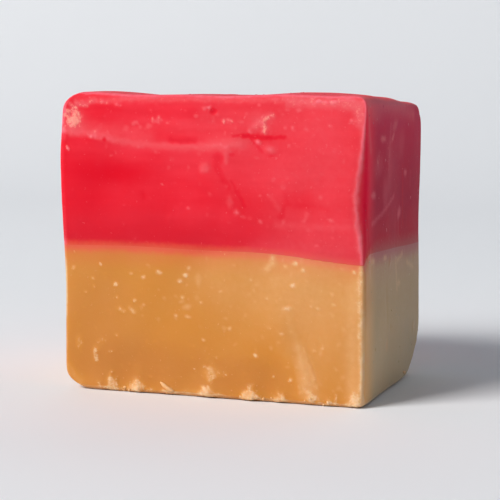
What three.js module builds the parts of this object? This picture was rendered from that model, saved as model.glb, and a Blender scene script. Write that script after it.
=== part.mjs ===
// A cube of two-layer fudge: a red layer poured on a caramel layer, then cut from the slab by hand.
// Millimetres, +Z up. The wide cut face looks along -Y, and X runs along it. The origin is the middle
// of the cube's footprint, on the surface that it stands on.
//
// Each layer is one closed surface, lofted through rows of points. A row goes once round the cube.
// The rows follow one another from the middle of a layer's underside, up its walls, to the middle of
// its top.
import * as THREE from "three";

// Driving dimensions of the cube, before its uneven hand-cut form is added.
const width = 34;
const depth = 27;
const height = 32;
const seamHeight = 15.75;
const layerGap = 0.1;

// The four walls, in the order in which a row passes them, counterclockwise from above, each with the
// edges at its top and its base. An edge is rounded away over its reach up or down the wall, and over
// its inset into the top or base face. A fullness of 1 is a round edge, and 0 a straight bevel.
const edge = (inset, reach, fullness) => ({ inset, reach, fullness });
const walls = [
  { steps: 32, top: edge(0.9, 0.9, 1), base: edge(0.45, 0.45, 1) },
  { steps: 22, top: edge(1.6, 1.1, 1), base: edge(0.7, 0.5, 1) },
  { steps: 22, top: edge(2.4, 2.7, 1), base: edge(6.6, 5.0, 0.5) },
  { steps: 22, top: edge(2.4, 1.7, 1), base: edge(2.3, 2.0, 0.6) },
];
const [front, right, back, left] = [0, 1, 2, 3];

// Upright corners, each at the end of the wall of the same place in the list. The first, between the
// front and the right wall, is rubbed rounder half-way up the red.
const cornerRadius = [0.5, 1.3, 1.6, 0.6];
const rubbedCorner = { z: 21.5, reach: 4.6, radius: 1.1 };

// How sharply a rounded edge gives way to the next one at a corner.
const edgeBlend = 4;

// Rows and steps of the loft.
const edgeRows = 5;
const wallRows = 12;
const cornerSteps = 4;
const topRings = 9;
const seamRings = 3;

const { exp, sin, cos, min, hypot, sqrt, PI } = Math;
const { clamp, lerp, smoothstep } = THREE.MathUtils;

// A soft mound that is 1 at its middle and dies away over its reach.
const mound = (distance, reach) => exp(-((distance / reach) ** 2));

// The seam between the layers. It droops where red was smeared down the front right corner, and falls
// a little towards the back.
const smear = { start: 3, end: 17, drop: 1.05, depth: 1.1 };
const seamFall = 0.55;
function seamAt(x, y) {
  const droop = smear.drop * smoothstep(x, smear.start, smear.end) * mound(y + depth / 2, smear.depth);
  const fall = seamFall * smoothstep(y, -depth / 2, depth / 2);
  const ripple = 0.1 * sin(0.31 * x + 1.2) * cos(0.2 * y);
  return seamHeight - droop - fall + ripple;
}

// The top face. It swells right of the middle, rises to its left end and sinks to the back.
const swell = { x: 10, y: -5, height: 0.33, reach: 6 };
const leftRise = { height: 0.3, start: -5, end: -14 };
const backFall = { height: 0.45, start: -10, end: 12 };
function topAt(x, y) {
  const hump = swell.height * mound(hypot(x - swell.x, y - swell.y), swell.reach);
  const rise = leftRise.height * (1 - smoothstep(x, leftRise.end, leftRise.start));
  const fall = backFall.height * smoothstep(y, backFall.start, backFall.end);
  const ripple = 0.08 * sin(0.55 * x - 0.3 * y) + 0.06 * sin(0.7 * y + 0.9);
  return height + hump + rise - fall + ripple;
}

// A low ridge pushed up by the knife runs across the upper front, with a groove over it. It comes
// down from the left end to the middle, and the groove goes on past its end.
const ridge = { z: 26.55, turn: -2, curve: 0.0078, step: 0.3, end: 5, height: 0.32, reach: 0.75 };
const groove = { offset: 1.35, depth: 0.22, reach: 0.6, end: 9.5 };
const fading = 3;
function knifeMark(x, z) {
  const climb = ridge.curve * min(x - ridge.turn, 0) ** 2;
  const line = ridge.z + climb + ridge.step * smoothstep(x, ridge.turn, ridge.turn + 4);
  const crest = ridge.height * mound(z - line, ridge.reach);
  const dip = groove.depth * mound(z - line - groove.offset, groove.reach);
  const crestLeft = 1 - smoothstep(x, ridge.end - fading, ridge.end);
  const dipLeft = 1 - smoothstep(x, groove.end - fading, groove.end);
  return crest * crestLeft - dip * dipLeft;
}

// A broad flake of fudge dragged down the lower front by the blade.
const flake = { top: 9.8, x: 7, slope: 0.45, height: 0.25, reach: 1.1 };
function draggedFlake(x, z) {
  const middle = flake.x + flake.slope * (flake.top - z);
  return flake.height * mound(x - middle, flake.reach) * (1 - smoothstep(z, flake.top - 2, flake.top));
}

// Crumbs pressed into the base edge of the front: where each lies along X, and how far it stands out.
const crumbs = [
  [-12.2, 0.35],
  [-7.9, 0.3],
  [-4.6, 0.25],
  [0.2, 0.35],
  [5.2, 0.4],
  [8.2, 0.25],
  [13.2, 0.25],
];
const crumbSize = { z: 0.9, reach: 0.9 };
function baseCrumbs(x, z) {
  const standOut = crumbs.map(([place, proud]) => proud * mound(x - place, crumbSize.reach));
  return mound(z - crumbSize.z, crumbSize.reach) * standOut.reduce((sum, each) => sum + each);
}

// How far each wall lies outside its plane. The first value is X on the front and back, Y on the ends.
// The front and the right end lean back under their top edges, the right end is hollow round its
// middle, the back is hollow low down, and the left end leans out to a full red layer that draws in
// again under its top edge.
const shoulder = { z: 26.5, lean: 0.5, endLean: 0.2 };
const hollow = { z: 19, reach: 5, depth: 0.2 };
const waist = { z: 13.5, reach: 5.5, depth: 0.9 };
const belly = { start: 8, full: 22, proud: 0.45, lean: 0.45, drawIn: 0.32, neck: 25, top: 29 };
const relief = [];
relief[front] = (x, z) =>
  knifeMark(x, z) +
  draggedFlake(x, z) +
  baseCrumbs(x, z) -
  shoulder.lean * smoothstep(z, shoulder.z, height) +
  0.07 * sin(0.33 * x + 1.1) * cos(0.27 * z) +
  0.04 * sin(0.8 * x - 0.5 * z);
relief[right] = (y, z) =>
  0.07 * sin(0.5 * y + 0.4) * cos(0.12 * z + 0.5) -
  shoulder.endLean * smoothstep(z, 20, height) -
  hollow.depth * mound(z - hollow.z, hollow.reach);
relief[back] = (x, z) =>
  0.12 * sin(0.42 * x - 0.2 * z) +
  0.08 * sin(0.5 * z + 0.35 * x) -
  waist.depth * mound(z - waist.z, waist.reach);
relief[left] = (y, z) =>
  belly.proud * smoothstep(z, belly.start, belly.full) -
  belly.drawIn * smoothstep(z, belly.neck, belly.top) +
  belly.lean * (smoothstep(z, 2, 28) - 1) +
  0.1 * sin(0.5 * y + 0.3 * z) +
  0.05 * sin(1.3 * y - 0.4 * z);

// For each wall, its neighbours, its outward direction, and how far its plane is from the middle. A
// row runs along a wall in the direction in which the next wall looks.
const next = (side) => (side + 1) % walls.length;
const previous = (side) => (side + walls.length - 1) % walls.length;
const outward = [[0, -1], [1, 0], [0, 1], [-1, 0]].map(([x, y]) => new THREE.Vector2(x, y));
const planeDistance = [depth / 2, width / 2, depth / 2, width / 2];

// The stations of a row: a fraction of the way along a wall, or an angle round its end corner.
const cornerTurn = PI / 2 / cornerSteps;
const stations = walls.flatMap(({ steps }, side) => [
  ...range(steps + 1).map((step) => ({ side, fraction: step / steps, angle: 0 })),
  ...range(cornerSteps - 1).map((step) => ({ side, fraction: 1, angle: (step + 1) * cornerTurn })),
]);

function range(count) {
  return Array.from({ length: count }, (_, i) => i);
}

// The radius at a height of the upright corner at the end of a wall.
function radiusAt(side, z) {
  const rubbed = side === front ? rubbedCorner.radius * mound(z - rubbedCorner.z, rubbedCorner.reach) : 0;
  return cornerRadius[side] + rubbed;
}

// How far in from its wall a rounded edge lies, at an angle of 0 where it leaves the wall and PI / 2
// where it meets the face.
function insetAt({ inset, fullness }, angle) {
  return inset * lerp(angle / (PI / 2), 1 - cos(angle), fullness);
}

// How deep a rounded edge cuts into the face, at a distance in from its wall.
function cutDepth({ inset, reach, fullness }, distance) {
  const share = clamp(1 - distance / inset, 0, 1);
  return reach * lerp(share, 1 - sqrt(1 - share * share), fullness);
}

// How deep the edge of a station's own wall and those of the next walls together cut into the top or
// base face there, blended where one gives way to the other.
function depthAt({ side, fraction }, face, insets) {
  const span = 2 * planeDistance[next(side)] - insets[previous(side)] - insets[next(side)];
  const depths = [
    cutDepth(walls[side][face], insets[side]),
    cutDepth(walls[previous(side)][face], insets[previous(side)] + fraction * span),
    cutDepth(walls[next(side)][face], insets[next(side)] + (1 - fraction) * span),
  ];
  return depths.reduce((sum, each) => sum + each ** edgeBlend, 0) ** (1 / edgeBlend);
}

// The place of a station on the plain cube, its walls drawn in by the given insets.
function plainPoint({ side, fraction, angle }, insets, z) {
  const distance = planeDistance.map((plane, i) => plane - insets[i]);
  const radius = radiusAt(side, z);
  const start = radiusAt(previous(side), z) - distance[previous(side)];
  const end = distance[next(side)] - radius;
  const out = distance[side] - radius * (1 - cos(angle));
  const along = lerp(start, end, fraction) + radius * sin(angle);
  return outward[side].clone().multiplyScalar(out).addScaledVector(outward[next(side)], along);
}

// The place of a station on the finished surface, in a row at an angle round the edge of the top or
// base face, or at a share of the way from that edge to the seam.
function surfacePoint(station, face, { edgeAngle, share }, lift) {
  const { side, angle } = station;
  const onSeam = plainPoint(station, [0, 0, 0, 0], seamHeight);
  const seam = seamAt(onSeam.x, onSeam.y) + lift;
  const insets = walls.map((wall) => insetAt(wall[face], edgeAngle));
  const cut = depthAt(station, face, insets);
  const z = lerp(face === "top" ? height - cut : cut, seam, share);
  const point = plainPoint(station, insets, z);
  const swelling = face === "top" ? (topAt(point.x, point.y) - height) * sin(edgeAngle) : 0;
  const reliefOf = (wall) => relief[wall](wall === front || wall === back ? point.x : point.y, z);
  const proud = lerp(reliefOf(side), reliefOf(next(side)), sin(angle) ** 2) * cos(edgeAngle);
  point.addScaledVector(outward[side], proud * cos(angle));
  point.addScaledVector(outward[next(side)], proud * sin(angle));
  return new THREE.Vector3(point.x, point.y, z + swelling);
}

// The rows of a layer's side, from the edge of its top or base face to the seam.
function sideRows(face, lift) {
  const round = range(edgeRows).map((row) => ({ edgeAngle: (1 - row / edgeRows) * (PI / 2), share: 0 }));
  const wall = range(wallRows + 1).map((row) => ({ edgeAngle: 0, share: row / wallRows }));
  const rowOf = (row) => stations.map((station) => surfacePoint(station, face, row, lift));
  return [...round, ...wall].map(rowOf);
}

// The rows that close a face over, from just inside its rim to its middle point.
function faceRows(rim, rings, heightAt) {
  const inner = range(rings - 1).map((ring) => {
    const scale = 1 - (ring + 1) / rings;
    return rim.map(({ x, y }) => new THREE.Vector3(x * scale, y * scale, heightAt(x * scale, y * scale)));
  });
  return [...inner, [new THREE.Vector3(0, 0, heightAt(0, 0))]];
}

// A closed surface through the rows, from the single point of the first to that of the last.
function loft(rows) {
  const count = stations.length;
  const lastPoint = 1 + (rows.length - 2) * count;
  const at = (row, station) => min(1 + (row - 1) * count + (station % count), lastPoint);
  const triangles = [];
  for (let station = 0; station < count; station++) {
    triangles.push(0, at(1, station + 1), at(1, station));
    for (let row = 1; row < rows.length - 2; row++) {
      const [a, b] = [at(row, station), at(row, station + 1)];
      const [c, d] = [at(row + 1, station + 1), at(row + 1, station)];
      triangles.push(a, b, c, a, c, d);
    }
    triangles.push(at(rows.length - 2, station), at(rows.length - 2, station + 1), lastPoint);
  }
  const geometry = new THREE.BufferGeometry().setFromPoints(rows.flat());
  geometry.setIndex(triangles);
  geometry.computeVertexNormals();
  return geometry;
}

function caramelLayer() {
  const sides = sideRows("base", 0);
  const baseMiddle = [new THREE.Vector3(0, 0, 0)];
  return loft([baseMiddle, ...sides, ...faceRows(sides.at(-1), seamRings, seamAt)]);
}

function redLayer() {
  const sides = sideRows("top", layerGap).reverse();
  const underside = faceRows(sides[0], seamRings, (x, y) => seamAt(x, y) + layerGap);
  return loft([...underside.reverse(), ...sides, ...faceRows(sides.at(-1), topRings, topAt)]);
}

function layerMesh(name, geometry, colour) {
  const material = new THREE.MeshStandardMaterial({ color: colour, roughness: 0.5, metalness: 0 });
  const mesh = new THREE.Mesh(geometry, material);
  mesh.name = name;
  return mesh;
}

const cube = new THREE.Group();
cube.add(layerMesh("caramel_layer", caramelLayer(), 0xd38a46));
cube.add(layerMesh("red_layer", redLayer(), 0xe8313f));

// The uneven walls move the middle of the cube, so the group is set back over the origin.
const box = new THREE.Box3().setFromObject(cube);
cube.position.set(-(box.min.x + box.max.x) / 2, -(box.min.y + box.max.y) / 2, -box.min.z);

export default cube;
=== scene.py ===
"""A hand-cut cube of two-layer fudge, red on caramel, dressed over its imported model.

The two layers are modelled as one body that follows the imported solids. It is worn, marked by the knife
and then cut apart along the seam. Sugar specks, crumbs and small curls of fudge are scattered on it.
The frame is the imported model's own: X runs along the wide cut front, which looks along -Y, and +Z is up.
Sizes and places are named in millimetres, and MM turns them into the metres that Blender works in.
"""

import math
from collections import namedtuple

import bpy
import numpy as np
from bpy.props import FloatProperty, FloatVectorProperty, IntProperty, PointerProperty
from mathutils import Matrix, Vector, kdtree, noise


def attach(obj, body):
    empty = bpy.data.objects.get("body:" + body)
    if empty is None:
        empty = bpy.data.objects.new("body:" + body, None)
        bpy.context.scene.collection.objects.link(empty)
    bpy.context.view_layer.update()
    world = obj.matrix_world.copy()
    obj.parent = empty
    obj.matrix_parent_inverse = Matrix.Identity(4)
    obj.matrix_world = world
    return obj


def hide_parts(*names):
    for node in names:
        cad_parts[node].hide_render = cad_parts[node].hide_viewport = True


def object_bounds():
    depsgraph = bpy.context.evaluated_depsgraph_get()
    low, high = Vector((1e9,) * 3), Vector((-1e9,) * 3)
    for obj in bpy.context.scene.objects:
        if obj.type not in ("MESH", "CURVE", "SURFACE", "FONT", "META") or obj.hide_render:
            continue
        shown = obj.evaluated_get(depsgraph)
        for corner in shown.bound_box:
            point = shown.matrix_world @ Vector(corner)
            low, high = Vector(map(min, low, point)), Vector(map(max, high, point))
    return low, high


bl_info = {
    "name": "Two-layer fudge cube",
    "version": (1, 0, 0),
    "blender": (4, 5, 0),
    "location": "3D View > Sidebar > Fudge",
    "description": "Models a hand-cut cube of red and caramel fudge, and its studio stage",
    "category": "Object",
}

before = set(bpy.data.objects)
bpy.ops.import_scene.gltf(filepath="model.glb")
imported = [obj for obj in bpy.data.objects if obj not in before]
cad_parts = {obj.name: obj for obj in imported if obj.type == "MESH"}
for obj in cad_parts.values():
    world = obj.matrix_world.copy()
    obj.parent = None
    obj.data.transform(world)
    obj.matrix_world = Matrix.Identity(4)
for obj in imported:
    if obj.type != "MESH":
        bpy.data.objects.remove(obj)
MODEL_LOW, MODEL_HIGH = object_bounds()
CARAMEL_NODE, RED_NODE = "caramel_layer", "red_layer"
MM = 0.001

# The cube as it was cut, before wear: its size, the middle of its footprint and the height of its seam
WIDTH, DEPTH, HEIGHT = 34.0, 27.0, 32.0
MIDDLE = (0.255, 0.062)
SEAM_HEIGHT = 15.75
# The seam droops where red was smeared down the right of the front, falls to the back and waves a little
SMEAR_START, SMEAR_END, SMEAR_DROP, SMEAR_DEPTH = 3.0, 17.0, 1.05, 1.1
SEAM_FALL, SEAM_WAVE = 0.55, 0.1
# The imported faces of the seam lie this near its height, and the points that the cut adds this near it
SEAM_BAND, SEAM_TOUCH = 1.8, 0.02

# How many squares the body has along each side, in two goes, and how often it is smoothed, all over and
# then where it is flat
COARSE_SQUARES, FINE_SQUARES = 13, 10
SMOOTH_PASSES, FLAT_PASSES = 3, 14
# Between these bends, 1 over a radius in millimetres, a place stops being flat and an edge gets rubbed
FLAT_BENDS, RUBBED_BENDS = (0.1, 0.35), (0.18, 0.9)
# A modifier leaves out the points whose weight is less than this
LEAST_WEIGHT = 0.01

# How the outlines of marks wander: how closely, and how far in millimetres
WANDERS = ((1.4, 0.15), (4.5, 0.06))
# How squarely the surface faces a side where that side's marks start to show, and where they show in full
FACING = (0.35, 0.8)
# The height in millimetres that marks on top of each other don't pass
LIFT_LIMIT = 0.35

# Where the right end starts, by how squarely the surface faces it, and how far behind the front the
# painted shade and sheen on it starts and is full
END_FACING, PAINTED_SHADE_REACH = (0.45, 0.85), (0.2, 5.5)
# What the modelling notes at each point of the layers for their finishes, from 0 to 1 but for the lightness
# of marks, which runs from -1 for deeper to 1 for lighter and is partly the fudge's own tone and partly
# painted light and shade, and from_seam, the height over the seam in millimetres. The fifth marks the
# painted shade and sheen over the right end.
BODY_ATTRIBUTES = ("rubbed", "dry", "haze", "end", "painted_end_shade", "from_seam")


def colour(red, green, blue):
    """A display colour of 0 to 255 a channel as the linear colour that Blender works in."""
    linear = [c / 12.92 if c <= 0.04045 else ((c + 0.055) / 1.055) ** 2.4
              for c in (red / 255, green / 255, blue / 255)]
    return (*linear, 1.0)


# ----------------------------------------------------------------------------- settings


def colour_setting(name, description, *channels):
    """A setting for a colour, given as a display colour."""
    return FloatVectorProperty(name=name, description=description, default=colour(*channels), size=4,
                               min=0, max=1, subtype="COLOR")


class FudgeShape(bpy.types.PropertyGroup):
    """The sizes and counts that a maker would change."""

    softening: FloatProperty(
        name="Softening", description="How much the surface is smoothed after it is drawn over the solids",
        default=0.5, min=0, max=1, subtype="FACTOR")
    ripple: FloatProperty(
        name="Ripple", description="Depth of the broad waxy ripples", default=0.035 * MM, unit="LENGTH")
    grain: FloatProperty(
        name="Grain", description="Depth of the fine unevenness", default=0.014 * MM, unit="LENGTH")
    crust: FloatProperty(
        name="Crust", description="Depth of the flakes in dry places", default=0.07 * MM, unit="LENGTH")
    specks: IntProperty(
        name="Sugar specks", description="How many pale specks lie in each layer", default=120, min=0)
    crumbs: IntProperty(
        name="Base crumbs", description="How many crumbs cling to the base edge", default=90, min=0)
    seed: IntProperty(name="Seed", description="Changes where specks and crumbs lie", default=7, min=0)


class FudgeColours(bpy.types.PropertyGroup):
    """The colours of the two layers, where they are fresh and where they are dry or rubbed, with a painted
    glow and painted shade and sheen for the right end, and painted light and shade on the front.
    """

    red: colour_setting("Red", "The red layer", 234, 51, 66)
    # Deep red is also painted shade in the darker zones, hollows and grooves of the front, and low red is
    # painted shade, darker towards the foot of the layer
    red_deep: colour_setting("Deep red", "The red layer where it is dense and moist", 221, 14, 37)
    red_low: colour_setting("Low red", "The red layer just over the seam", 198, 38, 52)
    # Pale red is the smears and flecks, and also painted light: a painted highlight on the knife's ridge and
    # the lighter zones of the front
    red_pale: colour_setting("Pale red", "The red layer where it is smeared", 234, 106, 112)
    red_rubbed: colour_setting("Rubbed red", "The red layer on its edges", 246, 124, 140)
    red_crust: colour_setting("Red crust", "The red layer where it is dry and broken", 248, 160, 142)
    # The next colour is a painted glow: light coming through the corner onto the shaded right end by the
    # front. The three after it are the red, lighter near the top, and its pale marks, in painted shade and
    # sheen on that end
    red_painted_glow: colour_setting("Red glow", "The right end of the red layer by the front", 255, 6, 60)
    red_painted_shade: colour_setting("Red film", "The dried red layer on the right end", 178, 14, 54)
    red_painted_shade_high: colour_setting("High red film", "The dried red layer near the top", 200, 12, 66)
    red_pale_painted_shade: colour_setting("Pale dried red", "Pale marks on the dried red", 226, 98, 112)
    caramel: colour_setting("Caramel", "The caramel layer", 205, 129, 24)
    # Deep caramel is also painted shade, in the darker zones of the front to the left, low down, along the
    # base and on the left edge, and pale caramel is also painted light, in the lighter zones to the right
    caramel_deep: colour_setting("Deep caramel", "The caramel layer low down", 190, 113, 22)
    caramel_pale: colour_setting("Pale caramel", "The caramel layer where it is dry", 229, 170, 109)
    caramel_crust: colour_setting("Caramel crust", "The caramel layer where it is broken", 236, 196, 150)
    caramel_rubbed: colour_setting("Rubbed caramel", "The caramel layer on its edges", 228, 198, 156)
    # The next colour is a painted glow on the shaded right end by the front, strongest low down. The two
    # after it are the caramel in painted shade and sheen on that end, lighter near the base as painted light
    # from the floor
    caramel_painted_glow: colour_setting("Caramel glow", "The right end of the caramel by the front", 236, 172, 92)
    caramel_painted_shade: colour_setting("Caramel film", "The dried caramel on the right end", 177, 137, 78)
    caramel_painted_shade_low: colour_setting("Low caramel film", "The dried caramel near the base", 198, 166, 119)
    # The seam's colours in the red and in the caramel, each with a copy in painted shade and sheen for the
    # right end
    seam: colour_setting("Seam", "The red layer at the seam", 228, 90, 66)
    seam_painted_shade: colour_setting("Dried seam", "The red layer at the dried seam", 188, 90, 88)
    seam_low: colour_setting("Low seam", "The caramel at the seam", 224, 79, 46)
    seam_low_painted_shade: colour_setting("Low dried seam", "The caramel at the dried seam", 174, 34, 12)
    sugar: colour_setting("Sugar", "Specks of dry sugar", 210, 190, 164)
    pink_sugar: colour_setting("Pink sugar", "Specks of dry sugar on the red layer", 230, 124, 136)
    floor: colour_setting("Floor", "The sweep that the cube stands on", 236, 236, 238)


# ----------------------------------------------------------------------------- modelling helpers


def add_object(name, data):
    """Adds an object with this mesh, lamp or camera to the scene."""
    thing = bpy.data.objects.new(name, data)
    bpy.context.scene.collection.objects.link(thing)
    return thing


def add_primitive(add, **settings):
    """Adds a primitive by its operator, with nothing else selected."""
    bpy.ops.object.select_all(action="DESELECT")
    add(**settings)
    return bpy.context.object


def only(*objects):
    """Selects these objects and nothing else. The first is the active one."""
    bpy.ops.object.select_all(action="DESELECT")
    for each in objects:
        each.select_set(True)
    bpy.context.view_layer.objects.active = objects[0]


def in_edit_mode(piece, *steps):
    """Runs edit-mode steps on a piece, all of it selected at the start."""
    only(piece)
    bpy.ops.object.mode_set(mode="EDIT")
    bpy.ops.mesh.select_all(action="SELECT")
    for step in steps:
        step()
    bpy.ops.object.mode_set(mode="OBJECT")


def select_parts(piece, mode, wanted):
    """Selects the edges or faces of a piece for which wanted is true, in edit mode."""
    bpy.ops.mesh.select_all(action="DESELECT")
    bpy.ops.mesh.select_mode(type=mode)
    bpy.ops.object.mode_set(mode="OBJECT")
    parts = piece.data.edges if mode == "EDGE" else piece.data.polygons
    parts.foreach_set("select", np.array([wanted(part) for part in parts], bool))
    bpy.ops.object.mode_set(mode="EDIT")


def extrude_up(height):
    """Extrudes what is selected along Z, in edit mode."""
    bpy.ops.mesh.extrude_region_move(TRANSFORM_OT_translate={"value": (0, 0, height)})


def face_outwards():
    """Turns all faces of a closed shape outwards, in edit mode."""
    bpy.ops.mesh.select_all(action="SELECT")
    bpy.ops.mesh.normals_make_consistent(inside=False)


def apply_modifier(piece, kind, weights=None, **settings):
    """Adds a modifier with these settings and applies it, weighted from 0 to 1 where weights are given."""
    modifier = piece.modifiers.new(kind.title(), kind)
    for name, value in settings.items():
        setattr(modifier, name, value)
    if weights is not None:
        group = piece.vertex_groups.new(name="weights")
        for index in np.flatnonzero(weights > LEAST_WEIGHT):
            group.add([int(index)], float(weights[index]), "REPLACE")
        modifier.vertex_group = "weights"
    only(piece)
    bpy.ops.object.modifier_apply(modifier=modifier.name)
    piece.vertex_groups.clear()


def settle(piece, name):
    """Names a piece and puts its place and turn in its mesh."""
    piece.name = name
    piece.data.name = name
    only(piece)
    bpy.ops.object.transform_apply(location=True, rotation=True, scale=True)
    return piece


def dress(piece, material):
    """Gives a piece this material and no other."""
    piece.data.materials.clear()
    piece.data.materials.append(material)


def array_of(piece, attribute):
    """The co or normal of each vertex, as an array."""
    values = np.empty(len(piece.data.vertices) * 3, np.float32)
    piece.data.vertices.foreach_get(attribute, values)
    return values.reshape(-1, 3)


def rise(value, start, end):
    """0 at start, 1 at end, and a smooth slope between."""
    share = np.clip((value - start) / (end - start), 0, 1)
    return share * share * (3 - 2 * share)


def mound(distance, reach):
    """1 where the distance is 0, dying away over the reach."""
    return np.exp(-((distance / reach) ** 2))


def write_attribute(piece, name, values):
    attribute = piece.data.attributes.get(name) or piece.data.attributes.new(name, "FLOAT", "POINT")
    attribute.data.foreach_set("value", np.asarray(values, np.float32))


def read_attribute(piece, name):
    values = np.empty(len(piece.data.vertices), np.float32)
    piece.data.attributes[name].data.foreach_get("value", values)
    return values


# ----------------------------------------------------------------------------- marks on the walls

# A stroke is a mark along a line on a face, and a spot is a round or oval one. Places are X and Z on the
# front and back, Y and Z on the ends, and X and Y on the top, from the middle of the cube and its base.
# A mark's lightness field says how much lighter it is, or how much deeper if it is negative, from -1 to 1:
# partly the fudge's own tone, and partly painted light and shade. lift is how far it stands out, or lies in
# if it is negative, and dry how crusted and pale it is, from 0 to 1.
Stroke = namedtuple("Stroke", "points width haze lift dry", defaults=(0, 0))
Spot = namedtuple("Spot", "place size haze lift dry turn", defaults=(0, 0, 0))
# A crust is a ragged patch of small flakes: each flake's size is drawn from a range. They lie densest
# along its foot and thin out over its height, or all round if it has no foot.
Crust = namedtuple("Crust", "place size count flake haze lift dry foot", defaults=(False,))
# Each face: the axis that it looks along, which way, and the two axes of its places
FACES = {
    "front": (1, -1, (0, 2)),
    "back": (1, 1, (0, 2)),
    "right": (0, 1, (1, 2)),
    "left": (0, -1, (1, 2)),
    "top": (2, 1, (0, 1)),
}

# The knife's ridge across the top of the front: its crest and the bands above it are lighter as a painted
# highlight, and its grooves and creases are darker as painted shade
KNIFE_MARKS = [
    Stroke([(-17.3, 28.2), (-15.6, 28.0), (-13.8, 27.85), (-12.0, 27.4), (-10.0, 27.0), (-8.0, 26.75),
            (-6.0, 26.62), (-4.0, 26.52), (-2.0, 26.5), (0.0, 26.52), (1.8, 26.7),
            (3.4, 27.0)], 0.42, 0.5, 0.02),
    Stroke([(-14.5, 28.5), (-11, 28.0), (-7, 27.6)], 0.8, 0.25),
    Stroke([(0.2, 26.9), (2.0, 27.1), (4.0, 27.1)], 0.7, 0.3),
    Stroke([(1.9, 26.5), (1.95, 25.8), (1.85, 25.1)], 0.3, 0.4, 0.04),
    Stroke([(-4.3, 27.2), (-3.0, 27.1), (-1.7, 27.15)], 0.3, -0.6, -0.01),
    Stroke([(2.6, 27.7), (3.6, 27.75), (4.6, 27.8)], 0.15, -0.4, -0.01),
    Stroke([(3.8, 27.7), (5.2, 27.65), (6.6, 27.6)], 0.22, -0.6, -0.01),
    Stroke([(6.2, 27.6), (7.4, 27.6), (8.2, 27.7)], 0.14, -0.6),
    Stroke([(4.2, 28.1), (4.6, 27.4), (5.2, 26.7), (5.8, 26.1)], 0.16, -0.25, -0.015),
]
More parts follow.
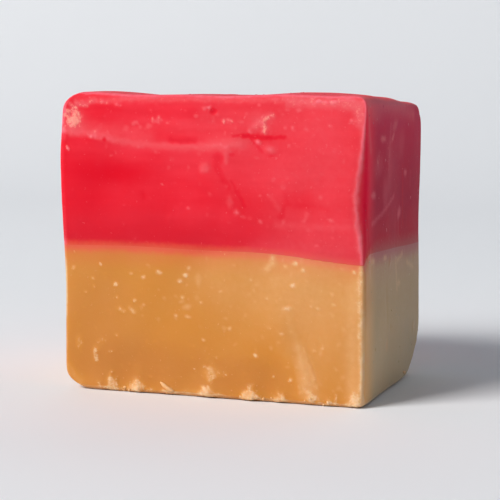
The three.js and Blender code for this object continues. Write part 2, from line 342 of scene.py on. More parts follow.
RED_FRONT_MARKS = [
    # The rubbed bands under the top edge and beside the upright edge, those under the top edge partly a
    # painted highlight, then broad zones of painted light to the right and along the top, and of painted
    # shade to the left, low down, on the left edge and under the top at the left
    Stroke([(-15.5, 31.2), (-9, 31.45), (0, 31.45), (8, 31.4), (15.6, 31.0)], 0.34, 0.42, 0, 0.2),
    Stroke([(8.5, 31.4), (12, 31.3), (15.8, 31.0)], 0.6, 0.8, 0, 0.3),
    Stroke([(16.3, 31.2), (16.35, 29.7), (16.5, 28.2), (16.45, 27.0), (16.25, 25.2), (16.0, 23.5),
            (15.8, 21.8), (15.85, 20.2), (16.0, 18.6), (16.2, 17.2), (16.4, 16.2)], 0.26, 0.75, 0.02, 0.15),
    Stroke([(15.0, 31.2), (15.8, 30.6), (16.1, 29.2)], 0.5, 0.7, 0, 0.35),
    Stroke([(16.3, 18.5), (16.4, 17.0), (16.6, 15.6)], 0.45, 0.4),
    Spot((9, 27), (11, 6), 0.16, turn=0.1),
    Spot((14, 20), (8, 9), 0.22),
    Spot((4, 29.3), (13, 1.6), 0.16),
    Spot((-10.5, 23.6), (4.6, 1.3), -0.9, turn=0.03),
    Spot((-15, 22.5), (3.5, 4), -0.5),
    Spot((-12, 19), (9, 4.5), -0.5),
    Stroke([(-17.2, 27.2), (-17.2, 22), (-17.0, 17)], 0.7, -0.8),
    Spot((-4, 17.2), (9, 1.3), -0.35),
    Stroke([(-13, 30.3), (-8, 30.1), (-2, 30.0)], 0.5, -0.4),
    Spot((10.0, 21.3), (1.7, 0.9), -0.18, -0.01),
    Stroke([(8.3, 20.5), (7.9, 19.4)], 0.3, -0.2, -0.01),
    Stroke([(7.5, 18.6), (11, 18.5), (15, 18.6)], 0.4, 0.2),
    # The pale chip at the top left corner, and smears near it
    Crust((-15.6, 29.35), (1.0, 1.1), 34, (0.18, 0.38), 0.5, 0.03, 0.95),
    Spot((-15.55, 29.35), (0.85, 1.0), 0.6, 0.03, 0.8, turn=0.3),
    Crust((-16.2, 30.2), (0.6, 0.6), 9, (0.16, 0.3), 0.5, 0.03, 0.7),
    Spot((-15.9, 28.6), (1.6, 1.3), 0.4, 0, 0.1, turn=0.3),
    Crust((-15.9, 28.3), (1.1, 0.6), 12, (0.16, 0.3), 0.4, 0.02, 0.4),
    Crust((-14.5, 31.1), (2.0, 0.5), 22, (0.16, 0.32), 0.45, 0.02, 0.45),
    Crust((-13.0, 27.75), (1.0, 0.35), 9, (0.14, 0.26), 0.4, 0.02, 0.4),
    Crust((-16.15, 26.35), (0.4, 0.4), 8, (0.14, 0.26), 0.5, 0.03, 0.55),
    # Smears and flecks along the top, and a small hollow painted darker as painted shade
    Crust((-6.0, 29.3), (0.7, 0.3), 9, (0.12, 0.28), 0.5, 0.02, 0.45),
    Crust((-8.5, 28.9), (0.6, 0.2), 7, (0.12, 0.26), 0.45, 0.02, 0.25),
    Spot((-6.9, 28.65), (0.4, 0.25), 0.4, 0.02, 0.15),
    Spot((-9.6, 28.4), (0.35, 0.3), 0.35, 0.02, 0.15),
    Crust((-10.6, 30.9), (0.8, 0.3), 7, (0.12, 0.26), 0.35, 0.02, 0.3),
    Crust((-0.6, 30.5), (0.8, 0.2), 9, (0.12, 0.24), 0.5, 0.03, 0.5),
    Spot((0.3, 30.25), (0.34, 0.24), -1, -0.08),
    Crust((1.9, 29.25), (0.5, 0.22), 8, (0.12, 0.24), 0.5, 0.03, 0.5),
    Spot((3.4, 29.2), (0.3, 0.2), 0.45, 0.03, 0.25),
    Spot((5.3, 29.3), (1.2, 1.0), 0.3, 0, 0.1),
    Crust((8.3, 30.5), (0.7, 0.2), 5, (0.1, 0.2), 0.35, 0.02, 0.3),
    Crust((9.3, 28.6), (0.6, 0.25), 5, (0.1, 0.22), 0.3, 0.02, 0.25),
    Crust((15.1, 29.3), (0.45, 0.22), 6, (0.12, 0.24), 0.5, 0.03, 0.5),
    Crust((12.5, 31.2), (1.6, 0.3), 16, (0.12, 0.24), 0.45, 0.02, 0.5),
    Crust((15.9, 30.0), (0.5, 1.0), 16, (0.12, 0.26), 0.45, 0.02, 0.45),
    # The smeared curl over the groove: a hook of pale paste, and crumbs of it to the left
    Stroke([(6.7, 29.8), (6.3, 29.65), (5.95, 29.35), (5.85, 28.95), (6.0, 28.6),
            (5.9, 28.2)], 0.32, 0.85, 0.05, 0.6),
    Stroke([(5.6, 29.2), (5.3, 29.0)], 0.22, 0.6, 0.04, 0.35),
    Spot((4.95, 28.65), (0.36, 0.34), 0.6, 0.04, 0.35),
    Spot((4.4, 28.2), (0.32, 0.3), 0.55, 0.04, 0.3),
    Crust((5.6, 28.9), (0.8, 0.7), 8, (0.12, 0.2), 0.45, 0.03, 0.35),
    # Lumps, hollows and creases in the middle, the hollows and creases painted darker as painted shade
    Spot((6.7, 26.4), (0.65, 0.45), 0.45, 0.08, 0.1, turn=-0.3),
    Spot((5.3, 27.05), (0.28, 0.4), 0.45, 0.06, 0.1),
    Spot((-0.45, 24.4), (0.6, 0.5), 0.5, 0.08),
    Spot((1.0, 25.3), (0.5, 0.6), -0.5, -0.03, turn=0.4),
    Spot((0.9, 24.4), (0.35, 0.5), -0.35, -0.02, turn=0.4),
    Spot((2.5, 25.75), (0.35, 0.18), -0.4, -0.02),
    Spot((6.8, 25.8), (0.5, 0.18), -0.35, -0.015),
    Spot((-11.9, 27.2), (0.24, 0.24), -1, -0.06),
    Spot((2.3, 20.9), (0.35, 0.6), 0.3, 0.03),
    Spot((3.1, 19.8), (0.45, 0.4), 0.3, 0.03),
    Spot((-4.5, 19.0), (0.35, 0.6), 0.35, 0.03, turn=-0.2),
    Spot((-9.9, 20.0), (0.5, 0.7), 0.2, 0.02, turn=-0.2),
    Spot((-7.5, 21.3), (0.35, 0.6), -0.5, -0.03),
    Stroke([(1.2, 23.9), (1.7, 23.0), (2.1, 22.3)], 0.25, -0.2, -0.015),
    Stroke([(2.5, 23.1), (3.1, 22.0), (3.9, 20.6)], 0.15, -0.2, -0.02),
    Stroke([(6.6, 21.7), (7.2, 21.0), (7.8, 20.2)], 0.22, 0.2, 0.02),
    Stroke([(8.3, 21.9), (8.6, 20.9), (9.3, 20.5), (11.5, 20.6), (13, 20.3)], 0.25, -0.1, -0.01),
    Stroke([(10.4, 19.1), (10.7, 19.8)], 0.22, 0.4, 0.02, 0.1),
]
CARAMEL_FRONT_MARKS = [
    # The creamy band along the upright edge, pale strokes by the left edge, and broad zones of painted light
    # to the right and of painted shade to the left, low down, along the base and on the left edge
    Stroke([(16.45, 14.4), (16.4, 12.5), (16.45, 10.5), (16.5, 8), (16.6, 5),
            (16.6, 2.0)], 0.3, 1, 0.01, 0.5),
    Stroke([(15.8, 12.5), (15.7, 8), (15.8, 2)], 0.8, 0.6),
    Stroke([(-16.3, 2.6), (-15.7, 1.6), (-14.9, 0.9)], 0.5, 0.4, 0, 0.1),
    Stroke([(-16.8, 13), (-16.6, 3.4)], 0.4, 0.35),
    Spot((12.5, 10), (5.5, 6), 0.3),
    Spot((7, 12.5), (9, 4), 0.35),
    Spot((-9, 3), (9, 3.0), -0.7),
    Spot((4, 2.4), (6, 2.2), -0.6),
    Spot((-13.0, 8.5), (4.5, 5), -0.4),
    Stroke([(-16.6, 0.1), (-8, 0.1), (0, 0.1), (8, 0.1), (16, 0.1)], 0.3, -0.8),
    Stroke([(-16.9, 12), (-16.8, 3)], 0.3, -0.5),
    # The smear that was dragged down the right of the front
    Stroke([(8.6, 9.5), (9.3, 7.6), (9.9, 6.0)], 0.35, 0.22),
    Stroke([(9.9, 6.0), (10.25, 5.0), (10.5, 4.2)], 0.45, 0.6, 0.03, 0.05),
    Stroke([(10.5, 4.2), (10.75, 3.2), (11.0, 2.6)], 0.8, 0.7, 0.03, 0.2),
    Stroke([(10.9, 2.6), (11.1, 1.6), (11.3, 0.8)], 1.05, 0.65, 0.03, 0.25),
    Stroke([(10.5, 5.9), (11.1, 4.2), (11.8, 2.5)], 0.12, 0.35, 0.03, 0.1),
    Crust((11.1, 1.9), (1.0, 1.2), 22, (0.12, 0.28), 0.45, 0.02, 0.45),
    Crust((11.5, 0.4), (0.7, 0.7), 14, (0.16, 0.32), 0.6, 0.04, 0.8, foot=True),
    # Crusted mounds along the base, with feathered tops, and a small pit painted darker as painted shade
    Stroke([(-12.7, 0.9), (-12.4, 0.4)], 0.2, 0.4, 0.02, 0.35),
    Spot((-11.15, 0.7), (0.62, 1.1), 0.8, 0.05, 0.55, turn=0.1),
    Crust((-11.1, 0.1), (0.8, 1.8), 24, (0.16, 0.36), 0.6, 0.04, 0.75, foot=True),
    Stroke([(-11.2, 1.4), (-11.45, 2.4)], 0.4, 0.45, 0.01, 0.1),
    Crust((-10.0, 0), (0.7, 0.5), 8, (0.14, 0.26), 0.4, 0.03, 0.5, foot=True),
    Spot((-8.2, 0.5), (1.45, 0.85), 0.85, 0.05, 0.55),
    Crust((-8.2, 0), (1.8, 1.3), 40, (0.16, 0.38), 0.5, 0.04, 0.65, foot=True),
    Stroke([(-7.95, 1.0), (-7.95, 2.0), (-8.1, 2.9)], 0.42, 0.5, 0.02, 0.15),
    Spot((-7.25, 0.25), (0.16, 0.16), -1, -0.05),
    Stroke([(-7, 0.45), (-3, 0.45), (-0.8, 0.55)], 0.22, 0.45, 0.02, 0.15),
    Crust((-4.6, 0.2), (1.8, 0.4), 16, (0.12, 0.24), 0.4, 0.03, 0.45, foot=True),
    Spot((-0.2, 0.7), (0.85, 0.45), 0.7, 0.04, 0.6, turn=0.15),
    Crust((-0.2, 0.3), (0.9, 1.0), 22, (0.16, 0.32), 0.5, 0.04, 0.65, foot=True),
    Stroke([(0.6, 0.5), (1.9, 0.4)], 0.22, 0.4, 0.03, 0.35),
    Spot((4.8, 0.5), (1.3, 0.8), 0.65, 0.05, 0.5),
    Crust((4.8, 0), (1.5, 1.2), 34, (0.16, 0.36), 0.5, 0.05, 0.7, foot=True),
    Stroke([(5.05, 0.9), (5.15, 1.55)], 0.26, 0.5, 0.03, 0.3),
    Spot((8.0, 0.35), (0.75, 0.4), 0.5, 0.05, 0.45),
    Crust((8.0, 0), (1.0, 0.8), 18, (0.16, 0.3), 0.45, 0.04, 0.6, foot=True),
    Crust((13.2, 0), (0.9, 0.6), 12, (0.14, 0.26), 0.4, 0.04, 0.6, foot=True),
    Stroke([(14.0, 0.2), (14.05, 1.3)], 0.14, 0.4, 0.03, 0.5),
    Spot((16.1, 1.0), (0.75, 1.0), 0.8, 0.03, 0.7),
    Crust((16.0, 0.2), (0.8, 1.2), 20, (0.14, 0.3), 0.5, 0.04, 0.75, foot=True),
    # Smears over the lower middle
    Spot((0.4, 2.7), (1.3, 0.7), 0.85, 0.02, 0.42, turn=0.1),
    Crust((0.5, 2.55), (1.3, 0.6), 26, (0.14, 0.32), 0.5, 0.02, 0.5),
    Stroke([(0.6, 2.5), (1.9, 2.55)], 0.28, 0.4, 0.01, 0.2),
    Stroke([(0.4, 3.6), (0.6, 3.0)], 0.35, 0.4, 0.01, 0.05),
    Stroke([(0.2, 2.2), (0.4, 1.5)], 0.35, 0.45, 0.02, 0.25),
    Spot((-1.7, 2.2), (0.45, 0.4), 0.3, 0.01, 0.1),
    Stroke([(-13.05, 4.3), (-13.0, 3.3)], 0.38, 0.95, 0.04, 0.6),
    Stroke([(-12.95, 4.5), (-12.6, 5.2), (-12.1, 5.45)], 0.34, 0.8, 0.02, 0.3),
    Spot((-15.0, 5.05), (0.42, 0.75), 1, 0.03, 0.45),
    Spot((-1.2, 12.5), (0.35, 0.7), 0.45, 0.03),
    Stroke([(7.1, 15.1), (7.05, 14.4), (6.5, 14.0)], 0.36, 0.85, 0.03, 0.35),
    Spot((7.3, 12.7), (0.6, 0.6), 0.25),
    Stroke([(-9.0, 9.15), (-8.5, 8.8)], 0.3, 0.85, 0.03, 0.4),
    Stroke([(-10.2, 8.95), (-9.7, 8.8)], 0.26, 0.95, 0.04, 0.5),
    Spot((-2.5, 9.6), (0.5, 0.3), 0.5, 0.03, 0.15, turn=0.3),
    Stroke([(8.3, 9.9), (9.1, 10.0)], 0.24, 0.6, 0.03, 0.35),
]
RIGHT_MARKS = [
    Stroke([(-13.0, 31.2), (-6, 31.0), (2, 30.8), (8, 30.2)], 0.9, 0.6, 0, 0.1),
    Stroke([(-11.5, 31.6), (-3, 31.5), (4, 31.2)], 0.5, 0.5, 0, 0.1),
    Stroke([(-12.4, 30.5), (-12.0, 28.5), (-11.4, 26.5)], 0.5, 0.4, 0, 0.1),
    Spot((-6.3, 27.5), (1.1, 0.36), 1, 0.01, 0.05),
    Spot((-2.0, 27.6), (0.9, 0.3), 1, 0.01, 0.05, turn=0.5),
    Spot((-0.8, 28.9), (1.4, 0.5), 0.6, turn=0.3),
    Spot((-9.4, 30), (2.6, 0.9), 0.4),
    Spot((-10.0, 21.7), (1.0, 0.36), 0.9, 0.01, 0.05),
    Spot((4.4, 23.6), (0.7, 0.36), 0.9, 0.01, 0.05),
    Spot((2.1, 19.2), (0.9, 0.6), 0.9, 0.01, 0.05, turn=0.4),
    Stroke([(-3.6, 26), (-3.2, 24.2), (-3.8, 22.6)], 1.3, 0.3),
    Stroke([(-10.2, 18.7), (-5.5, 19.8), (-1.0, 21.2)], 0.24, 0.55),
    Spot((-8.0, 24.8), (1.7, 1.2), 0.3, turn=0.4),
    Spot((-5.2, 21.6), (1.0, 1.8), 0.3, turn=0.3),
    Spot((2.6, 27.0), (1.2, 1.6), 0.25, turn=-0.4),
    Spot((-10.0, 14.9), (0.8, 0.34), 0.6, 0.01, 0.25),
    Spot((-5.0, 14.8), (0.8, 0.3), 0.6, 0.01, 0.25),
    Spot((1.5, 11.4), (0.9, 0.3), 0.5, 0.01, 0.15),
    Stroke([(1, 14.0), (3.5, 14.6)], 0.25, 0.4, 0, 0.1),
    Stroke([(5.5, 13.4), (8.5, 12.6)], 0.3, 0.4, 0, 0.1),
]

# Specks that were placed one by one on the front: X, Z and half their width in millimetres
RED_SPECKS = [
    (-6.8, 30.3, 0.13), (-1.6, 29.8, 0.14), (5.3, 30.9, 0.13), (9.6, 30.45, 0.15), (11.25, 30.95, 0.16),
    (12.6, 31.15, 0.13), (11.7, 31.4, 0.12), (-4.8, 29.0, 0.12), (8.3, 28.6, 0.12), (10.6, 28.4, 0.12),
    (13.0, 28.9, 0.11), (8.7, 26.8, 0.12), (1.4, 26.8, 0.12), (-8.0, 26.45, 0.12), (-8.45, 16.6, 0.17),
    (-2.3, 20.1, 0.15), (-9.75, 20.2, 0.12), (-8.7, 21.6, 0.12), (-15.7, 21.7, 0.12), (-14.9, 18.5, 0.13),
    (-9.75, 18.2, 0.12), (-5.3, 22.5, 0.11), (13.3, 19.2, 0.15), (12.1, 21.5, 0.14), (5.7, 18.9, 0.14),
    (3.1, 19.8, 0.13), (11.8, 16.6, 0.12), (-12.5, 31.2, 0.15), (5.6, 21.6, 0.11), (-11.2, 25.5, 0.11),
]
CARAMEL_SPECKS = [
    (-10.6, 11.7, 0.2), (-13.4, 12.2, 0.13), (-15.6, 13.3, 0.14), (-12.4, 13.8, 0.13), (-7.4, 12.5, 0.14),
    (-5.6, 13.1, 0.17), (-2.6, 13.0, 0.19), (-3.25, 12.3, 0.17), (-2.2, 13.7, 0.13), (-3.0, 10.6, 0.14),
    (-2.4, 8.55, 0.14), (-3.7, 8.6, 0.12), (-8.4, 10.0, 0.14), (-7.4, 9.6, 0.12), (-10.5, 10.3, 0.12),
    (-14.2, 10.7, 0.12), (9.5, 14.7, 0.2), (8.5, 14.3, 0.15), (10.4, 14.0, 0.15), (15.8, 14.0, 0.15),
    (9.35, 12.4, 0.22), (8.85, 9.95, 0.18), (13.7, 10.6, 0.14), (11.3, 10.3, 0.12), (12.0, 10.1, 0.12),
    (13.5, 11.7, 0.13), (4.7, 12.8, 0.12), (5.3, 4.85, 0.18), (9.2, 2.5, 0.19), (2.4, 7.5, 0.14),
    (0.9, 4.3, 0.12), (7.2, 2.7, 0.12), (-11.25, 4.3, 0.15), (-10.5, 6.1, 0.15), (-9.15, 3.0, 0.12),
    (-13.2, 11.4, 0.11), (-8.9, 12.9, 0.11), (12.6, 6.0, 0.12), (8.2, 7.3, 0.12), (-0.6, 6.2, 0.13),
    (-6.6, 1.8, 0.12), (11.7, 5.7, 0.1), (6.5, 10.9, 0.1), (-0.9, 10.2, 0.1), (1.3, 11.4, 0.1),
]


def any_turn(rng):
    """A turn for an oval, which looks the same again after about 3 radians."""
    return rng.uniform(0, 3)


def stray_marks(rng, count, low, high, upright):
    """Faint drag marks, smears and dimples, scattered over a face by a seeded rule."""
    marks = []
    for _ in range(count):
        start = rng.uniform(low, high)
        slope = rng.uniform(-0.25, 0.25) if upright else rng.uniform(-1.2, 1.2)
        way = rng.uniform(1.5, 7) * np.array([math.sin(slope), math.cos(slope)])
        points = [tuple(start + way * share) for share in (0, 0.5, 1)]
        marks.append(Stroke(points, rng.uniform(0.18, 0.4), lift=rng.uniform(-0.05, 0.03),
                            haze=rng.uniform(-0.35, 0.4)))
        place, size = tuple(rng.uniform(low, high)), tuple(rng.uniform(0.25, 0.8, 2))
        dry = max(0, rng.uniform(-0.5, 0.6))
        marks.append(Spot(place, size, turn=any_turn(rng), lift=rng.uniform(-0.06, 0.08), dry=dry,
                          haze=rng.uniform(-0.2, 0.5)))
    return marks


def crusted_patch(rng, place, reach):
    """A pale broken patch, such as one that stuck to another piece and was pulled off it."""
    return [Crust(tuple(place + rng.normal(0, reach * 0.4, 2)), tuple(rng.uniform(0.3, 0.7, 2) * reach), 20,
                  (0.25, 0.5), lift=rng.uniform(0.02, 0.05), dry=rng.uniform(0.5, 0.8),
                  haze=rng.uniform(0.2, 0.4))
            for _ in range(5)]


def base_mounds(rng, half):
    """Crusted mounds all along a base edge that is twice half long."""
    marks = []
    across = -half
    while across < half:
        size = (rng.uniform(0.4, 1.2), rng.uniform(0.4, 1.2))
        marks.append(Crust((across, 0), size, int(18 * size[0]), (0.18, 0.36), lift=0.1,
                           dry=rng.uniform(0.7, 1), haze=0.4, foot=True))
        across += rng.uniform(1.0, 3.6)
    return marks


def flakes_of(crust, rng):
    """The flakes of a crust, each as a spot."""
    flakes = []
    for _ in range(crust.count):
        if crust.foot:
            up = abs(rng.normal(0, 0.5))
            offset = np.array([rng.normal(0, 0.5) * max(1 - 0.6 * up, 0.2), up])
        else:
            offset = rng.normal(0, 0.5, 2)
        size = rng.uniform(*crust.flake) * np.array([1, rng.uniform(0.6, 1.4)])
        share = rng.uniform(0.5, 1)
        flakes.append(Spot(tuple(crust.place + offset * crust.size), tuple(size), turn=any_turn(rng),
                           lift=crust.lift * share, dry=crust.dry * share, haze=crust.haze * share))
    return flakes


def small_specks(rng, count, low, high, strength):
    """Specks of sugar just under the surface, too small to stand out."""
    return [Spot(tuple(rng.uniform(low, high)), tuple(rng.uniform(0.12, 0.3, 2)), turn=any_turn(rng),
                 lift=0.01, haze=rng.uniform(0.2, 1) * strength)
            for _ in range(count)]


def placed_specks(specks, strength):
    """The specks that were placed one by one, as spots."""
    return [Spot((x, z), (half_width * 1.7, half_width * 1.45), lift=0.03,
                 dry=half_width * 3 * strength, haze=(0.42 + half_width * 2.4) * strength)
            for x, z, half_width in specks]


def all_marks(seed):
    """The marks on every face. Those on the front and right are set out, and the rest lie as they fell."""
    rng = np.random.default_rng(seed)
    clear = 1.5
    half_width, half_depth = WIDTH / 2 - clear, DEPTH / 2 - clear
    end = (-half_depth, 3), (half_depth, 28), True
    return {
        "front": KNIFE_MARKS + RED_FRONT_MARKS + CARAMEL_FRONT_MARKS
        + placed_specks(RED_SPECKS, 0.75) + placed_specks(CARAMEL_SPECKS, 1.15)
        + small_specks(rng, 130, (-16, 16.5), (16, 31.5), 0.35)
        + small_specks(rng, 150, (-16, 1.5), (16, 15), 0.4),
        "right": RIGHT_MARKS + stray_marks(rng, 9, *end),
        "left": stray_marks(rng, 12, *end) + crusted_patch(rng, (5, 24), 2.2)
        + crusted_patch(rng, (-6, 11), 1.6) + base_mounds(rng, half_depth),
        "back": stray_marks(rng, 16, (-half_width, 7), (half_width, 27), False)
        + crusted_patch(rng, (-9, 22), 2.4) + crusted_patch(rng, (6, 12), 1.8),
        "top": stray_marks(rng, 14, (-half_width, -half_depth), (half_width, half_depth), False)
        + crusted_patch(rng, (-8, 4), 2.6),
    }


def seam_height(x, y):
    """Height of the seam between the layers, for places in millimetres."""
    x, y = x - MIDDLE[0], y - MIDDLE[1]
    droop = SMEAR_DROP * rise(x, SMEAR_START, SMEAR_END) * mound(y + DEPTH / 2, SMEAR_DEPTH)
    fall = SEAM_FALL * rise(y, -DEPTH / 2, DEPTH / 2)
    return SEAM_HEIGHT - droop - fall + SEAM_WAVE * np.sin(0.31 * x + 1.2) * np.cos(0.2 * y)


def stroke_strength(stroke, across, up):
    """How strongly a stroke marks each point, from 1 on its line to 0."""
    nearest = np.full(len(across), np.inf)
    for (x0, y0), (x1, y1) in zip(stroke.points, stroke.points[1:]):
        run = np.array([x1 - x0, y1 - y0])
        share = np.clip(((across - x0) * run[0] + (up - y0) * run[1]) / (run @ run), 0, 1)
        nearest = np.minimum(nearest, np.hypot(across - x0 - share * run[0], up - y0 - share * run[1]))
    return mound(nearest, stroke.width)


def spot_strength(spot, across, up):
    """How strongly a spot marks each point, from 1 in its middle to 0."""
    x, y = across - spot.place[0], up - spot.place[1]
    c, s = math.cos(spot.turn), math.sin(spot.turn)
    return np.exp(-(((c * x + s * y) / spot.size[0]) ** 2 + ((c * y - s * x) / spot.size[1]) ** 2) ** 1.5)


def seen_by_marks(places):
    """The places from the cube's middle, each led astray a little, so that no mark has a clean outline."""
    astray = sum(np.array([noise.noise_vector(Vector(place) * closely) for place in places.tolist()]) * far
                 for closely, far in WANDERS)
    return places - (*MIDDLE, 0) + astray


def mark_strengths(places, normals, seed):
    """The lift in millimetres, the dryness and the lightness, partly painted light and shade, that all marks
    together give each point.
    """
    lift, dry, haze = np.zeros((3, len(places)))
    places = seen_by_marks(places)
    rng = np.random.default_rng(seed)
    for face, marks in all_marks(seed).items():
        axis, side, (u, v) = FACES[face]
        facing = rise(side * normals[:, axis], *FACING)
        seen = np.flatnonzero(facing)
        across, up = places[seen, u], places[seen, v]
        single = [mark for mark in marks if not isinstance(mark, Crust)]
        single += [flake for mark in marks if isinstance(mark, Crust) for flake in flakes_of(mark, rng)]
        for mark in single:
            strength = (stroke_strength if isinstance(mark, Stroke) else spot_strength)(mark, across, up)
            strength = strength * facing[seen]
            lift[seen] += mark.lift * strength * (1 - np.clip(lift[seen] / LIFT_LIMIT, 0, 1))
            dry[seen] = np.maximum(dry[seen], mark.dry * strength)
            haze[seen] += mark.haze * strength * (1 - np.abs(haze[seen]))
    return lift, dry, haze


# ----------------------------------------------------------------------------- the layers


def convexity(piece):
    """How sharply the surface bends outwards at each vertex, as 1 over the radius in millimetres."""
    mesh = piece.data
    edges = np.empty(len(mesh.edges) * 2, np.int32)
    mesh.edges.foreach_get("vertices", edges)
    a, b = edges.reshape(-1, 2).T
    places, normals = array_of(piece, "co") / MM, array_of(piece, "normal")
    along, turn = places[b] - places[a], normals[b] - normals[a]
    bend = (along * turn).sum(1) / np.maximum((along * along).sum(1), 1e-9)
    total, count = np.zeros(len(places)), np.zeros(len(places))
    for ends in (a, b):
        np.add.at(total, ends, bend)
        np.add.at(count, ends, 1)
    bent = total / np.maximum(count, 1)
    # Evened out twice with the neighbours
    for _ in range(2):
        spread = bent.copy()
        np.add.at(spread, a, bent[b])
        np.add.at(spread, b, bent[a])
        bent = spread / (count + 1)
    return bent


def smooth_guide():
    """A smooth copy of both packed layers, closed over the gap between them."""
    copies = [add_object("guide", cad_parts[node].data.copy()) for node in (CARAMEL_NODE, RED_NODE)]
    only(*copies)
    bpy.ops.object.join()
    guide = copies[0]

    def in_seam(face):
        """Whether a face is one of the two level ones that meet in the seam."""
        return abs(face.normal.z) > 0.7 and abs(face.center.z / MM - SEAM_HEIGHT) < SEAM_BAND

    in_edit_mode(
        guide,
        lambda: bpy.ops.mesh.remove_doubles(threshold=0.002 * MM),
        lambda: select_parts(guide, "FACE", in_seam),
        lambda: bpy.ops.mesh.delete(type="FACE"),
        lambda: bpy.ops.mesh.select_mode(type="EDGE"),
        lambda: bpy.ops.mesh.select_non_manifold(),
        lambda: bpy.ops.mesh.bridge_edge_loops(),
        lambda: bpy.ops.mesh.select_all(action="SELECT"),
        lambda: bpy.ops.mesh.tris_convert_to_quads(face_threshold=1.0, shape_threshold=1.0),
    )
    apply_modifier(guide, "SUBSURF", levels=2, render_levels=2)
    return guide


def model_body(shape):
    """The whole cube: a block divided evenly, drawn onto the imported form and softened."""
    guide = smooth_guide()
    body = settle(add_primitive(bpy.ops.mesh.primitive_cube_add, size=1, scale=MODEL_HIGH - MODEL_LOW,
                                location=(MODEL_LOW + MODEL_HIGH) / 2), "fudge_body")
    in_edit_mode(
        body,
        lambda: bpy.ops.mesh.subdivide(number_cuts=COARSE_SQUARES - 1),
        lambda: bpy.ops.mesh.subdivide(number_cuts=FINE_SQUARES - 1),
        lambda: select_parts(body, "FACE", lambda face: face.normal.y < -0.5),
        lambda: bpy.ops.mesh.subdivide(number_cuts=1),
    )
    apply_modifier(body, "SHRINKWRAP", target=guide, wrap_method="NEAREST_SURFACEPOINT")
    apply_modifier(body, "SMOOTH", factor=shape.softening, iterations=SMOOTH_PASSES)
    flat = 1 - rise(np.abs(convexity(body)), *FLAT_BENDS)
    apply_modifier(body, "SMOOTH", flat, factor=shape.softening, iterations=FLAT_PASSES)
    bpy.data.objects.remove(guide)
    return body


def cloud_texture(name, size, depth):
    texture = bpy.data.textures.new(name, "CLOUDS")
    texture.noise_scale = size
    texture.noise_depth = depth
    return texture


def displace(body, strength, weights=None, texture=None):
    """Moves the surface outwards by a strength, or to and fro by a texture."""
    middle = 0.5 if texture else 0
    apply_modifier(body, "DISPLACE", weights, strength=strength, mid_level=middle, texture=texture)


def mark_body(body, shape):
    """Presses the marks, ripples and grain into the body, and notes where it is dry, how much lighter or
    deeper it is, partly as painted light and shade, and where the right end and its painted shade and sheen
    lie.
    """
    places, normals = array_of(body, "co") / MM, array_of(body, "normal")
    lift, dry, haze = mark_strengths(places, normals, shape.seed)
    write_attribute(body, "dry", dry)
    write_attribute(body, "haze", haze)
    end = rise(normals[:, 0], *END_FACING)
    write_attribute(body, "end", end)
    # Painted shade and sheen over the right end, full a little behind the front, standing for how the end
    # looks in shade
    write_attribute(body, "painted_end_shade", end * rise(places[:, 1] - MIDDLE[1] + DEPTH / 2, *PAINTED_SHADE_REACH))
    for strength, sign in ((lift, 1), (-lift, -1)):
        depth = strength.max()
        displace(body, sign * depth * MM, strength / depth)
    displace(body, shape.crust, dry, cloud_texture("crust", 0.34 * MM, 2))
    displace(body, shape.ripple, None, cloud_texture("ripples", 2.8 * MM, 1))
    displace(body, shape.grain, 1 - 0.7 * end, cloud_texture("grain", 0.7 * MM, 2))
    places = array_of(body, "co")
    places[:, 2] = np.maximum(places[:, 2], 0)
    body.data.vertices.foreach_set("co", places.ravel())


def seam_cutter():
    """A block whose underside is the seam, standing out past the cube on all sides."""
    margin = 3 * MM
    size = MODEL_HIGH - MODEL_LOW + Vector((2 * margin, 2 * margin, 0))
    cutter = add_primitive(bpy.ops.mesh.primitive_grid_add, x_subdivisions=90, y_subdivisions=75, size=1)
    cutter.scale = (size.x, size.y, 1)
    settle(cutter, "seam_cutter")
    places = array_of(cutter, "co")
    places[:, 2] = seam_height(places[:, 0] / MM, places[:, 1] / MM) * MM
    cutter.data.vertices.foreach_set("co", places.ravel())
    in_edit_mode(
        cutter,
        lambda: extrude_up(HEIGHT * MM),
        face_outwards,
    )
    return cutter


def note_cut_points(layer, noted, tree):
    """Gives the points that the cut added what was noted at the nearest point of the body."""
    places = array_of(layer, "co")
    from_seam = places[:, 2] / MM - seam_height(places[:, 0] / MM, places[:, 1] / MM)
    added = np.flatnonzero(np.abs(from_seam) < SEAM_TOUCH)
    nearest = [tree.find(places[index])[1] for index in added]
    for name, values in noted.items():
        written = read_attribute(layer, name)
        written[added] = values[nearest]
        write_attribute(layer, name, written)
    write_attribute(layer, "from_seam", from_seam)


def cut_layers(body):
    """Cuts the body along the seam into the two layers."""
    places = array_of(body, "co") / MM
    write_attribute(body, "rubbed", rise(convexity(body), *RUBBED_BENDS))
    write_attribute(body, "from_seam", places[:, 2] - seam_height(places[:, 0], places[:, 1]))
    noted = {name: read_attribute(body, name) for name in BODY_ATTRIBUTES[:-1]}
    tree = kdtree.KDTree(len(places))
    for index, place in enumerate(array_of(body, "co")):
        tree.insert(place, index)
    tree.balance()
    cutter = seam_cutter()
    red = add_object("red_body", body.data.copy())
    for layer, operation in ((red, "INTERSECT"), (body, "DIFFERENCE")):
        apply_modifier(layer, "BOOLEAN", object=cutter, operation=operation, solver="MANIFOLD")
    bpy.data.objects.remove(cutter)
    layers = settle(body, "caramel_fudge"), settle(red, "red_fudge")
    for layer in layers:
        note_cut_points(layer, noted, tree)
        only(layer)
        bpy.ops.object.shade_smooth_by_angle(angle=math.radians(55))
    return layers


class FUDGE_OT_layers(bpy.types.Operator):
    """Model the two layers of fudge"""

    bl_idname = "fudge.layers"
    bl_label = "Layers"

    def execute(self, context):
        shape, colours = context.scene.fudge_shape, context.scene.fudge_colours
        body = model_body(shape)
        mark_body(body, shape)
        caramel, red = cut_layers(body)
        dress(caramel, caramel_finish(colours))
        dress(red, red_finish(colours))
        for piece, node, slot in ((caramel, CARAMEL_NODE, "caramel_fudge"), (red, RED_NODE, "red_fudge")):
            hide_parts(node)
            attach(piece, "root")
        return {"FINISHED"}


# ----------------------------------------------------------------------------- small things

CRUMBS_A_CRUST = 2
